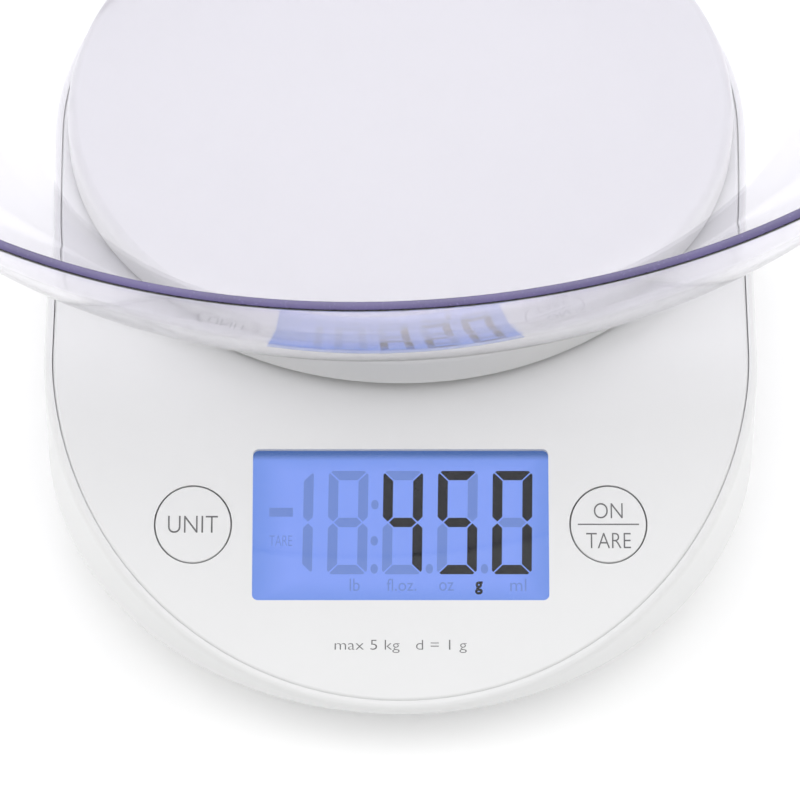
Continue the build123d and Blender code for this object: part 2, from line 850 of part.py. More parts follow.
def load_cell_wires():
    """Bundled leads of the strain gauges, from the load cell's side to its header."""
    z = cell_bottom + cell_side / 2
    x = -stop_circle
    start_y = cell_screw_inner - spacer_margin
    route = [(-cell_side / 2, start_y, z), (x, start_y, z)]
    route.append((x - cell_lead_side, cell_lead_first, floor_top + cell_lead_rise))
    route.append((x, cell_lead_second, floor_top + lead_floor))
    route += header_points(cell_connector_x)
    return lead(route)


def rubber_feet():
    """Four feet let into the underside."""
    feet = []
    for x, y in foot_places():
        foot = rod(foot_radius, 0, base_height + foot_recess, x, y)
        feet.append(fillet(foot.edges().sort_by(Axis.Z)[0], foot_edge))
    return group(feet)


def case_screws():
    """Six screws from the underside into the cover's bosses."""
    z = case_screw_seat - case_screw[1]
    return group([screw(x, y, z, *case_screw) for x, y in mirrored(case_screw_places)])


PIECES = {
    "lower_case": lower_case,
    "top_cover": top_cover,
    "display_window": display_window,
    "lcd_panel": lcd_panel,
    "light_guide": light_guide,
    "backlight_leds": backlight_leds,
    "lcd_frame": lcd_frame,
    "zebra_strips": zebra_strips,
    "circuit_board": circuit_board,
    "controller_chip": controller_chip,
    "board_parts": board_parts,
    "wire_connectors": wire_connectors,
    "unit_button": lambda: button(-button_spread),
    "tare_button": lambda: button(button_spread),
    "unit_switch": lambda: switch_housing(-button_spread),
    "tare_switch": lambda: switch_housing(button_spread),
    "unit_plunger": lambda: switch_plunger(-button_spread),
    "tare_plunger": lambda: switch_plunger(button_spread),
    "board_screws": board_screws,
    "load_cell": load_cell,
    "gauge_seals": gauge_seals,
    "cell_spacer": cell_spacer,
    "cell_screws": cell_screws,
    "support_screws": support_screws,
    "tray_support": tray_support,
    "tray": tray,
    "tray_screws": tray_screws,
    "bowl": bowl,
    "batteries": batteries,
    "battery_springs": battery_springs,
    "contact_plates": contact_plates,
    "battery_wires": battery_wires,
    "load_cell_wires": load_cell_wires,
    "battery_door": battery_door,
    "rubber_feet": rubber_feet,
    "case_screws": case_screws,
}

os.makedirs("parts", exist_ok=True)
for name, make in PIECES.items():
    piece = Pos(0, tray_y, 0) * make()
    export_step(piece, f"parts/{name}.step")
    print(name, round(sum(s.volume for s in piece.solids()), 1), len(piece.solids()))
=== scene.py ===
import json
from math import cos, radians, sin

import bmesh
import bpy
from bpy.props import FloatProperty, FloatVectorProperty, IntProperty, PointerProperty, StringProperty
from mathutils import Matrix, Vector


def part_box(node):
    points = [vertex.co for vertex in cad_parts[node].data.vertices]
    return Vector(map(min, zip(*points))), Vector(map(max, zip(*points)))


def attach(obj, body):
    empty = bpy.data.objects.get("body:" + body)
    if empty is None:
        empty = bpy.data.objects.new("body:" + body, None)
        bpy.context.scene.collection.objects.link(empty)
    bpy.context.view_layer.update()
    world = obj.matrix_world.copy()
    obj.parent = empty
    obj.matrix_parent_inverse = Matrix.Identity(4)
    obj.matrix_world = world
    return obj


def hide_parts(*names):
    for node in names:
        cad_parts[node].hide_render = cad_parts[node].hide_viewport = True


bl_info = {
    "name": "Kitchen scale looks",
    "version": (1, 0, 0),
    "blender": (4, 5, 0),
    "location": "3D View > Sidebar > Kitchen scale",
    "description": "Finishes, prints, display and bowl of an electronic kitchen scale",
    "category": "Object",
}

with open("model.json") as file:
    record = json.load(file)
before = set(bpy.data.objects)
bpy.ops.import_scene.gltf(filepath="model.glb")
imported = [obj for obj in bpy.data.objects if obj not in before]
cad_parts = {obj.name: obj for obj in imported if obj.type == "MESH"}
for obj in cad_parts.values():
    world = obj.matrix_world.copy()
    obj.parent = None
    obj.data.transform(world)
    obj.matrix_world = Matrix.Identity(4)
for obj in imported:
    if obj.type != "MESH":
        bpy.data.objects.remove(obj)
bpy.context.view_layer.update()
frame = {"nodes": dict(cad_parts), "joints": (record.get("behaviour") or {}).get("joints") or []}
MM = 0.001
WELD = 1e-7  # points this close are one
INK_FILM = 0.03 * MM  # thickness of liquid crystal segments
FILM = {"Roughness": 0.45, "Grain_scale": 5000.0}  # finish of those segments
THIN_STROKE = -0.012  # lettering offsets, in font units
BOLD_STROKE = 0.035


# ---- where things are ----


def joint(name):
    """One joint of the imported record."""
    return next(j for j in frame["joints"] if j["name"] == name)


PANEL_NORMAL = -Vector(joint("unit_press")["axis"]).normalized()
PANEL_UP = PANEL_NORMAL.cross(Vector((1, 0, 0)))
PANEL_TILT = PANEL_UP.angle(Vector((0, 1, 0)))


def level(node):
    """How far a node reaches along the panel's normal."""
    return max(v.co.dot(PANEL_NORMAL) for v in frame["nodes"][node].data.vertices)


def middle(node):
    """Centre of a node's box."""
    low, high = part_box(node)
    return (Vector(low) + Vector(high)) / 2


def on_panel(node, height):
    """Matrix of a sheet parallel to the panel, centred over a node, at a height along its normal."""
    centre = middle(node)
    origin = Vector((centre.x, 0, 0)) + PANEL_UP * centre.dot(PANEL_UP) + PANEL_NORMAL * height
    turn = Matrix((Vector((1, 0, 0)), PANEL_UP, PANEL_NORMAL)).transposed()
    return Matrix.Translation(origin) @ turn.to_4x4()


# ---- pieces ----


def piece(name, bm, material, body, smooth=False):
    """Makes a bmesh an object of the scene that rides on a body."""
    mesh = bpy.data.meshes.new(name)
    bm.to_mesh(mesh)
    bm.free()
    if smooth:
        mesh.shade_smooth()
    mesh.materials.append(material)
    obj = bpy.data.objects.new(name, mesh)
    bpy.context.scene.collection.objects.link(obj)
    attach(obj, body)
    return obj


def paint(material, *nodes):
    """Gives CAD nodes a finish."""
    for node in nodes:
        for slot in frame["nodes"][node].material_slots:
            slot.material = material


def word(bm, text, centre, size, stroke=0.0):
    """Adds flat lettering that fills a box of a size round a centre."""
    curve = bpy.data.curves.new("lettering", "FONT")
    curve.body = text
    curve.offset = stroke
    curve.resolution_u = 6
    obj = bpy.data.objects.new("lettering", curve)
    bpy.context.scene.collection.objects.link(obj)
    mesh = bpy.data.meshes.new_from_object(obj)
    low = Vector((min(v.co.x for v in mesh.vertices), min(v.co.y for v in mesh.vertices), 0))
    high = Vector((max(v.co.x for v in mesh.vertices), max(v.co.y for v in mesh.vertices), 0))
    span = high - low
    fit = Matrix.Diagonal((size[0] / span.x, size[1] / span.y, 1, 1))
    mesh.transform(
        Matrix.Translation((centre[0], centre[1], 0)) @ fit @ Matrix.Translation(-(low + high) / 2)
    )
    bm.from_mesh(mesh)
    bpy.data.objects.remove(obj)
    bpy.data.curves.remove(curve)
    bpy.data.meshes.remove(mesh)


def thicken(bm, depth):
    """Gives flat faces a thickness, half above and half below."""
    bmesh.ops.remove_doubles(bm, verts=bm.verts, dist=WELD)
    for face in bm.faces:
        if face.normal.z < 0:
            face.normal_flip()
    grown = bmesh.ops.extrude_face_region(bm, geom=bm.faces[:])["geom"]
    verts = [g for g in grown if isinstance(g, bmesh.types.BMVert)]
    bmesh.ops.translate(bm, verts=verts, vec=(0, 0, depth))
    bmesh.ops.translate(bm, verts=bm.verts, vec=(0, 0, -depth / 2))
    bmesh.ops.recalc_face_normals(bm, faces=bm.faces)


# ---- shader building blocks ----


def add(tree, kind, **settings):
    """New node with its settings and unlinked input values."""
    node = tree.nodes.new(kind)
    inputs = settings.pop("inputs", {})
    for name, value in settings.items():
        setattr(node, name, value)
    for name, value in inputs.items():
        node.inputs[name].default_value = value
    return node


def math(tree, operation, first, second=None, third=None):
    """Math node on sockets or numbers; gives its output socket."""
    node = add(tree, "ShaderNodeMath", operation=operation)
    for index, value in enumerate((first, second, third)):
        if value is None:
            continue
        if isinstance(value, (int, float)):
            node.inputs[index].default_value = value
        else:
            tree.links.new(value, node.inputs[index])
    return node.outputs[0]


def mix(tree, factor, first, second, blend="MIX"):
    """Colour mix of sockets or colours; gives its output socket."""
    node = add(tree, "ShaderNodeMix", data_type="RGBA", blend_type=blend)
    for index, value in ((0, factor), (6, first), (7, second)):
        if isinstance(value, bpy.types.NodeSocket):
            tree.links.new(value, node.inputs[index])
        else:
            node.inputs[index].default_value = value
    return node.outputs[2]


def ramp(tree, value, low, high, start=0.0, end=1.0):
    """Maps a value between two limits to a range, held at its ends."""
    node = add(tree, "ShaderNodeMapRange", interpolation_type="SMOOTHSTEP")
    tree.links.new(value, node.inputs["Value"])
    for name, number in (("From Min", low), ("From Max", high), ("To Min", start), ("To Max", end)):
        node.inputs[name].default_value = number
    return node.outputs["Result"]


def place(tree, offset=(0, 0, 0), turn=(0, 0, 0), scale=(1, 1, 1)):
    """Object coordinates moved to an offset's origin, turned and scaled."""
    coords = add(tree, "ShaderNodeTexCoord")
    shift = add(tree, "ShaderNodeVectorMath", operation="SUBTRACT")
    tree.links.new(coords.outputs["Object"], shift.inputs[0])
    shift.inputs[1].default_value = offset
    mapping = add(tree, "ShaderNodeMapping", inputs={"Rotation": turn, "Scale": scale})
    tree.links.new(shift.outputs[0], mapping.inputs["Vector"])
    return mapping.outputs["Vector"]


def split(tree, vector):
    """X, Y and Z sockets of a vector."""
    node = add(tree, "ShaderNodeSeparateXYZ")
    tree.links.new(vector, node.inputs[0])
    return node.outputs


def noise(tree, vector, scale, detail=2.0, roughness=0.5):
    """Noise value on a vector."""
    settings = {"Scale": scale, "Detail": detail, "Roughness": roughness}
    node = add(tree, "ShaderNodeTexNoise", inputs=settings)
    tree.links.new(vector, node.inputs["Vector"])
    return node.outputs["Fac"]


def new_group(name, inputs, outputs):
    """Node group with named inputs (name, kind, default) and outputs (name, kind)."""
    group = bpy.data.node_groups.new(name, "ShaderNodeTree")
    kinds = {"value": "NodeSocketFloat", "colour": "NodeSocketColor", "vector": "NodeSocketVector"}
    for label, kind, default in inputs:
        socket = group.interface.new_socket(name=label, in_out="INPUT", socket_type=kinds[kind])
        socket.default_value = default
    for label, kind in outputs:
        group.interface.new_socket(name=label, in_out="OUTPUT", socket_type=kinds[kind])
    group_in = group.nodes.new("NodeGroupInput")
    group_out = group.nodes.new("NodeGroupOutput")
    return group, group_in.outputs, group_out.inputs


def moulded_group():
    """Moulded plastic: fine mould grain, slow flow marks in colour and gloss."""
    group, given, result = new_group(
        "Moulded grain",
        (
            ("Colour", "colour", (0.8, 0.8, 0.8, 1.0)),
            ("Tone spread", "value", 0.03),
            ("Roughness", "value", 0.35),
            ("Roughness spread", "value", 0.08),
            ("Grain scale", "value", 2200.0),
        ),
        (("Colour", "colour"), ("Roughness", "value"), ("Height", "value")),
    )
    coords = place(group)
    fine = add(group, "ShaderNodeTexNoise", inputs={"Detail": 3.0, "Roughness": 0.6})
    group.links.new(coords, fine.inputs["Vector"])
    group.links.new(given["Grain scale"], fine.inputs["Scale"])
    flow = noise(group, coords, 34.0, 3.0)
    tone = math(group, "MULTIPLY_ADD", math(group, "SUBTRACT", flow, 0.5), given["Tone spread"], 1.0)
    scaled = add(group, "ShaderNodeVectorMath", operation="SCALE")
    group.links.new(given["Colour"], scaled.inputs[0])
    group.links.new(tone, scaled.inputs["Scale"])
    group.links.new(scaled.outputs[0], result["Colour"])
    half_fine = math(group, "MULTIPLY", fine.outputs["Fac"], 0.5)
    both = math(group, "ADD", half_fine, math(group, "MULTIPLY", flow, 0.5))
    uneven = math(group, "SUBTRACT", both, 0.5)
    gloss = math(group, "MULTIPLY_ADD", uneven, given["Roughness spread"], given["Roughness"])
    group.links.new(gloss, result["Roughness"])
    group.links.new(math(group, "MULTIPLY_ADD", flow, 0.15, fine.outputs["Fac"]), result["Height"])
    return group


def scratch_group():
    """Handling marks: a few hair-fine scratches and soft smears."""
    group, given, result = new_group(
        "Handling marks",
        (("Scale", "value", 60.0), ("Amount", "value", 0.1)),
        (("Mask", "value"), ("Height", "value")),
    )
    marks = []
    for turn in (0.5, 2.1):
        coords = place(group, turn=(0, 0, turn), scale=(1.0, 26.0, 1.0))
        node = add(group, "ShaderNodeTexNoise", inputs={"Detail": 2.0, "Distortion": 0.4})
        group.links.new(coords, node.inputs["Vector"])
        group.links.new(given["Scale"], node.inputs["Scale"])
        marks.append(ramp(group, node.outputs["Fac"], 0.66, 0.72))
    smear = ramp(group, noise(group, place(group), 22.0, 3.0), 0.45, 0.75)
    lines = math(group, "MAXIMUM", marks[0], marks[1])
    mask = math(group, "MULTIPLY", math(group, "MULTIPLY_ADD", smear, 0.5, lines), given["Amount"])
    group.links.new(mask, result["Mask"])
    group.links.new(math(group, "MULTIPLY", lines, -1.0), result["Height"])
    return group


def brushed_group():
    """Drawn or brushed metal: streaks along one direction."""
    group, given, result = new_group(
        "Drawn metal",
        (
            ("Colour", "colour", (0.7, 0.7, 0.7, 1.0)),
            ("Roughness", "value", 0.3),
            ("Direction", "vector", (1.0, 0.02, 1.0)),
        ),
        (("Colour", "colour"), ("Roughness", "value"), ("Height", "value")),
    )
    coords = add(group, "ShaderNodeVectorMath", operation="MULTIPLY")
    group.links.new(place(group), coords.inputs[0])
    group.links.new(given["Direction"], coords.inputs[1])
    streaks = noise(group, coords.outputs[0], 2600.0, 3.0, 0.6)
    patches = noise(group, place(group), 180.0, 2.0)
    tone = math(group, "MULTIPLY_ADD", math(group, "SUBTRACT", streaks, 0.5), 0.3, 1.0)
    scaled = add(group, "ShaderNodeVectorMath", operation="SCALE")
    group.links.new(given["Colour"], scaled.inputs[0])
    group.links.new(tone, scaled.inputs["Scale"])
    group.links.new(scaled.outputs[0], result["Colour"])
    group.links.new(
        math(group, "MULTIPLY_ADD", math(group, "SUBTRACT", patches, 0.5), 0.25, given["Roughness"]),
        result["Roughness"],
    )
    group.links.new(streaks, result["Height"])
    return group


def dust_group():
    """Settled dust: a pale film that gathers on faces that look up or down and in patches."""
    group, given, result = new_group(
        "Settled dust",
        (("Colour", "colour", (0.5, 0.5, 0.5, 1.0)), ("Amount", "value", 0.1)),
        (("Colour", "colour"), ("Mask", "value")),
    )
    patches = ramp(group, noise(group, place(group), 90.0, 4.0, 0.65), 0.42, 0.7)
    flat = add(group, "ShaderNodeNewGeometry")
    up = math(group, "ABSOLUTE", split(group, flat.outputs["Normal"])["Z"])
    mask = math(group, "MULTIPLY", math(group, "MULTIPLY", patches, up), given["Amount"])
    group.links.new(mask, result["Mask"])
    group.links.new(mix(group, mask, given["Colour"], (0.62, 0.6, 0.57, 1.0)), result["Colour"])
    return group


GROUPS = {}


def shared(tree, name, **values):
    """Places a shared effect in a material with its own values; gives its outputs."""
    makers = {
        "moulded": moulded_group,
        "marks": scratch_group,
        "metal": brushed_group,
        "dust": dust_group,
    }
    if name not in GROUPS:
        GROUPS[name] = makers[name]()
    node = tree.nodes.new("ShaderNodeGroup")
    node.node_tree = GROUPS[name]
    for label, value in values.items():
        socket = node.inputs[label.replace("_", " ")]
        if isinstance(value, bpy.types.NodeSocket):
            tree.links.new(value, socket)
        else:
            socket.default_value = value
    return node.outputs


def rgba(colour):
    """Colour property as four numbers."""
    return (colour[0], colour[1], colour[2], 1.0)


def material_of(name, **constants):
    """New material with a Principled shader and its constant sockets set."""
    material = bpy.data.materials.new(name)
    material.use_nodes = True
    tree = material.node_tree
    shader = tree.nodes["Principled BSDF"]
    for label, value in constants.items():
        shader.inputs[label.replace("_", " ")].default_value = value
    return material, tree, shader


def feed(tree, shader, **sockets):
    """Links sockets to a shader's inputs by name."""
    for label, socket in sockets.items():
        tree.links.new(socket, shader.inputs[label.replace("_", " ")])


def bump(tree, shader, height, distance, strength=1.0):
    """Relief on a shader from a height."""
    node = add(tree, "ShaderNodeBump", inputs={"Distance": distance, "Strength": strength})
    tree.links.new(height, node.inputs["Height"])
    feed(tree, shader, Normal=node.outputs["Normal"])


def grainy(tree, shader, tint, socket="Base_Color", **values):
    """Feeds a moulded tone and roughness to a shader; gives the group's outputs."""
    moulded = shared(tree, "moulded", Colour=tint, **values)
    feed(tree, shader, **{socket: moulded["Colour"], "Roughness": moulded["Roughness"]})
    return moulded


def plastic(name, colour, roughness, grain=2200.0, relief=4e-6, spread=0.03, **constants):
    """Moulded plastic with grain, flow marks and faint handling marks."""
    material, tree, shader = material_of(name, **constants)
    tone = {"Colour": rgba(colour), "Tone_spread": spread}
    moulded = shared(tree, "moulded", Roughness=roughness, Grain_scale=grain, **tone)
    marks = shared(tree, "marks", Amount=0.06)
    rough = math(tree, "ADD", moulded["Roughness"], marks["Mask"])
    feed(tree, shader, Base_Color=moulded["Colour"], Roughness=rough)
    bump(tree, shader, moulded["Height"], relief)
    return material


def metal(name, colour, roughness, direction=(1.0, 0.02, 1.0), relief=2e-6):
    """Drawn or plated metal."""
    material, tree, shader = material_of(name, Metallic=1.0)
    drawn = shared(tree, "metal", Colour=rgba(colour), Roughness=roughness, Direction=direction)
    feed(tree, shader, Base_Color=drawn["Colour"], Roughness=drawn["Roughness"])
    bump(tree, shader, drawn["Height"], relief)
    return material


def let_lamps_through(tree, shader, tint):
    """Light from lamps passes this clear material without bending, so that it casts no dark shadow."""
    clear = add(tree, "ShaderNodeBsdfTransparent", inputs={"Color": rgba(tint)})
    path = add(tree, "ShaderNodeLightPath")
    choice = add(tree, "ShaderNodeMixShader")
    tree.links.new(path.outputs["Is Shadow Ray"], choice.inputs[0])
    tree.links.new(shader.outputs["BSDF"], choice.inputs[1])
    tree.links.new(clear.outputs["BSDF"], choice.inputs[2])
    tree.links.new(choice.outputs[0], tree.nodes["Material Output"].inputs["Surface"])


# ---- settings ----


def length(name, description, millimetres):
    """Length property, given in millimetres."""
    return FloatProperty(
        name=name, description=description, default=millimetres * MM, min=0.0, unit="LENGTH", precision=5
    )


def colour(name, description, default):
    """Colour property."""
    return FloatVectorProperty(
        name=name, description=description, default=default, min=0.0, max=1.0, size=3, subtype="COLOR"
    )


def number(name, description, default, **limits):
    """Plain number property."""
    return FloatProperty(name=name, description=description, default=default, **limits)


class CasingSettings(bpy.types.PropertyGroup):
    plastic: colour("Casing", "Colour of the cover, tray, keys and lower case", (0.76, 0.762, 0.76))
    roughness: number("Roughness", "How matt the casing is", 0.36, min=0.0, max=1.0)
    # The tray's grey is painted shade: the tray is the casing's white plastic, darkened for the shadow of
    # the bowl above it
    tray: colour("Tray", "Colour of the tray", (0.64, 0.64, 0.64))
    rubber: colour("Feet", "Colour of the rubber feet", (0.20, 0.20, 0.205))


class DisplaySettings(bpy.types.PropertyGroup):
    glow: colour("Backlight", "Colour of the lit display", (0.215, 0.335, 0.88))
    edge: colour("Backlight edge", "Colour of the lit display near its edges", (0.155, 0.28, 0.76))
    ghost: colour("Idle segments", "Colour of segments that are off", (0.150, 0.245, 0.62))
    ink: colour("Active segments", "Colour of segments that are on", (0.008, 0.008, 0.008))
    window_height: length("Window height", "Height of the window's opening", 36.5)
    window_lap: length("Window lap", "How far the window reaches under the cover", 2.0)
    middle_x: length("Right shift", "Digits to the right of the glass's middle", 0.45)
    middle_y: length("Up shift", "Digits above the glass's middle", 1.2)
    reading: StringProperty(name="Reading", description="Last digits of the display", default="450")
    digit_height: length("Digit height", "Height of a digit", 25.0)
    digit_width: length("Digit width", "Width of a digit", 9.1)
    digit_pitch: length("Digit pitch", "From one digit to the next", 12.55)
    stroke: length("Stroke", "Width of a segment", 2.25)
    gap: length("Gap", "Between two segments", 0.3)
    lean: FloatProperty(
        name="Lean", description="How far digits lean to the right", default=radians(0.8), subtype="ANGLE"
    )


class PrintSettings(bpy.types.PropertyGroup):
    ink: colour("Print", "Colour of the legends on the keys", (0.155, 0.155, 0.157))
    thickness: length("Thickness", "Thickness of the printed ink", 0.03)
    line_length: length("Line length", "Line between the two words of a key", 14.0)
    line_width: length("Line width", "Width of that line", 0.32)
    capacity_width: length("Mark width", "Width of the range mark", 30.0)
    capacity_height: length("Mark height", "Height of the range mark", 3.1)
    capacity_drop: length("Mark drop", "Middle of the display to the range mark", 29.3)
    capacity: StringProperty(name="Capacity", description="Plain range mark", default="max 5 kg   d = 1 g")


class BowlSettings(bpy.types.PropertyGroup):
    long_axis: length("Long half-axis", "Half of the rim's length", 152.0)
    short_axis: length("Short half-axis", "Half of the rim's width", 118.0)
    wall: length("Wall", "Thickness of the wall", 2.6)
    turn: FloatProperty(
        name="Turn", description="How the bowl sits on the tray", default=radians(7.5), subtype="ANGLE"
    )
    rim_round: length("Rim rounding", "Radius of the rim's edges", 0.7)
    # rim_depth, fade and rim set the painted glow of light carried along the wall: the violet rim and the
    # deeper tint below it
    rim_depth: length("Rim depth", "How far down the tinted rim reaches", 0.3)
    fade: length("Fade", "How far below the rim the tint starts", 5.0)
    body: colour("Body", "Tint of the clear wall", (0.94, 0.93, 0.975))
    rim: colour("Rim", "Tint seen in the rim", (0.105, 0.082, 0.235))
    segments: IntProperty(name="Segments", description="Steps round the bowl", default=192, min=32)


class StageSettings(bpy.types.PropertyGroup):
    elevation: FloatProperty(
        name="Elevation", description="Camera above the horizon", default=radians(49.975), subtype="ANGLE"
    )
    distance: length("Distance", "Camera to its aim", 1497.8)
    lens: number("Lens", "Focal length in millimetres", 289.7)
    aim_back: length("Aim", "Point looked at, behind the front of the casing", 79.9)
    aim_left: length("Aim to the left", "Point looked at, left of the middle", 0.15)
    aim_height: length("Aim height", "Point looked at, above the table", 28.0)
    zenith: number("Overhead", "Brightness of the surroundings overhead", 1.41)
    horizon: number("Horizon", "Brightness of the surroundings low down", 0.60)
    front_shade: number("Front shade", "How much dimmer it is in front", 0.36)
    floor: colour("Floor", "Colour of the pale floor", (0.90, 0.90, 0.90))
    floor_glow: number("Floor glow", "Light given by the floor itself", 0.13)
    floor_reach: length("Floor reach", "Half of the floor's side", 4000.0)


# ---- casing, tray, keys, feet ----


class SCALE_OT_casing(bpy.types.Operator):
    """Finish the casing, the tray, the keys, the door and the feet"""

    bl_idname = "kitchen_scale.casing"
    bl_label = "Finish the casing"

    def execute(self, context):
        settings = context.scene.scale_casing
        satin = plastic("satin white plastic", settings.plastic, settings.roughness)
        paint(satin, "top_cover", "lower_case", "battery_door")
        # the tray's darker tint is painted shade under the bowl
        tray = plastic("tray plastic with painted shade", settings.tray, settings.roughness + 0.04, grain=2600.0)
        paint(tray, "tray")
        keys = plastic("key plastic", settings.plastic, settings.roughness, grain=2600.0, spread=0.02)
        paint(keys, "unit_button", "tare_button")
        self.feet(settings)
        return {"FINISHED"}

    def feet(self, settings):
        """Dusty moulded rubber."""
        material, tree, shader = material_of("foot rubber", Specular_IOR_Level=0.3)
        tint = rgba(settings.rubber)
        grain = {"Grain_scale": 1500.0, "Tone_spread": 0.2}
        moulded = shared(tree, "moulded", Colour=tint, Roughness=0.75, **grain)
        dust = shared(tree, "dust", Colour=moulded["Colour"], Amount=0.25)
        rough = math(tree, "ADD", moulded["Roughness"], dust["Mask"])
        feed(tree, shader, Base_Color=dust["Colour"], Roughness=rough)
        bump(tree, shader, moulded["Height"], 2e-5)
        paint(material, "rubber_feet")


# ---- display ----

# segments of a digit: a top, b c right, d bottom, e f left, g middle
SEGMENTS_ON = {
    "0": "abcdef",
    "1": "bc",
    "2": "abdeg",
    "3": "abcdg",
    "4": "bcfg",
    "5": "acdfg",
    "6": "acdefg",
    "7": "abc",
    "8": "abcdefg",
    "9": "abcdfg",
}


def cut(bm, faces, point, away):
    """Cuts off what lies beyond a line, on the side that away points to."""
    geometry = faces + list({e for f in faces for e in f.edges}) + list({v for f in faces for v in f.verts})
    done = bmesh.ops.bisect_plane(
        bm, geom=geometry, plane_co=(*point, 0), plane_no=(*away, 0), clear_outer=True
    )
    return [g for g in done["geom"] if isinstance(g, bmesh.types.BMFace)]


def bar(bm, low, high):
    """Flat rectangle between two corners."""
    made = bmesh.ops.create_grid(bm, x_segments=1, y_segments=1, size=0.5)["verts"]
    bmesh.ops.scale(bm, verts=made, vec=(high[0] - low[0], high[1] - low[1], 1))
    bmesh.ops.translate(bm, verts=made, vec=((high[0] + low[0]) / 2, (high[1] + low[1]) / 2, 0))
    return list({f for v in made for f in v.link_faces})


def segment(bm, letter, settings):
    """One segment of a digit centred on the origin, its ends cut along the corners' diagonals."""
    w, h = settings.digit_width / 2, settings.digit_height / 2
    t, half_gap = settings.stroke, settings.gap / 2
    corner = 0.4 * t
    right = 1 if letter in "bc" else -1
    up = 1 if letter in "abf" else -1
    if letter == "g":
        faces = bar(bm, (-w + t / 2, -t / 2), (w - t / 2, t / 2))
        for side in (1, -1):
            tip = side * (w - t / 2 - 2 * half_gap)
            for vertical in (1, -1):
                faces = cut(bm, faces, (tip, 0), (side, vertical))
    elif letter in "ad":
        faces = bar(bm, (-w, min(up * h, up * (h - t))), (w, max(up * h, up * (h - t))))
        for side in (1, -1):
            faces = cut(bm, faces, (side * (w - 1.5 * half_gap), up * h), (side, -up))
            faces = cut(bm, faces, (side * (w - corner), up * h), (side, up))
    else:
        inner, outer = right * (w - t), right * w
        faces = bar(bm, (min(inner, outer), min(0, up * h)), (max(inner, outer), max(0, up * h)))
        faces = cut(bm, faces, (outer, up * (h - 1.5 * half_gap)), (-right, up))
        faces = cut(bm, faces, (outer, up * (h - corner)), (right, up))
        point = right * (w - t / 2), up * 1.5 * half_gap
        faces = cut(bm, faces, point, (right, -up))
        faces = cut(bm, faces, point, (-right, -up))
    return list({v for f in faces for v in f.verts})


def dot(bm, x, y, across, tall):
    """Round dot of a display."""
    made = bmesh.ops.create_circle(bm, cap_ends=True, segments=24, radius=0.5)["verts"]
    bmesh.ops.scale(bm, verts=made, vec=(across, tall, 1))
    bmesh.ops.translate(bm, verts=made, vec=(x, y, 0))


# marks round the digits, from the middle of the glass, in millimetres
MINUS_CORNERS = ((-30.1, 2.6), (-24.7, 4.75))
POINTS = ((-5.9, 5.5), (-6.05, -3.25), (-6.05, -10.0), (6.55, -10.0), (19.15, -10.0))
POINT_SIZE = (1.7, 2.3)
# text, x, y, width, height, lettering offset
IDLE_WORDS = (
    ("TARE", -27.45, -3.2, 5.2, 2.5, THIN_STROKE),
    ("lb", -10.5, -13.85, 2.3, 2.95, 0.0),
    ("fl.oz.", 0.2, -13.85, 6.8, 2.95, 0.0),
    ("oz", 10.45, -14.25, 3.3, 2.1, 0.0),
    ("ml", 26.85, -13.85, 3.7, 2.95, 0.0),
)
LIT_WORDS = (("g", 17.85, -14.6, 1.75, 3.15, BOLD_STROKE),)


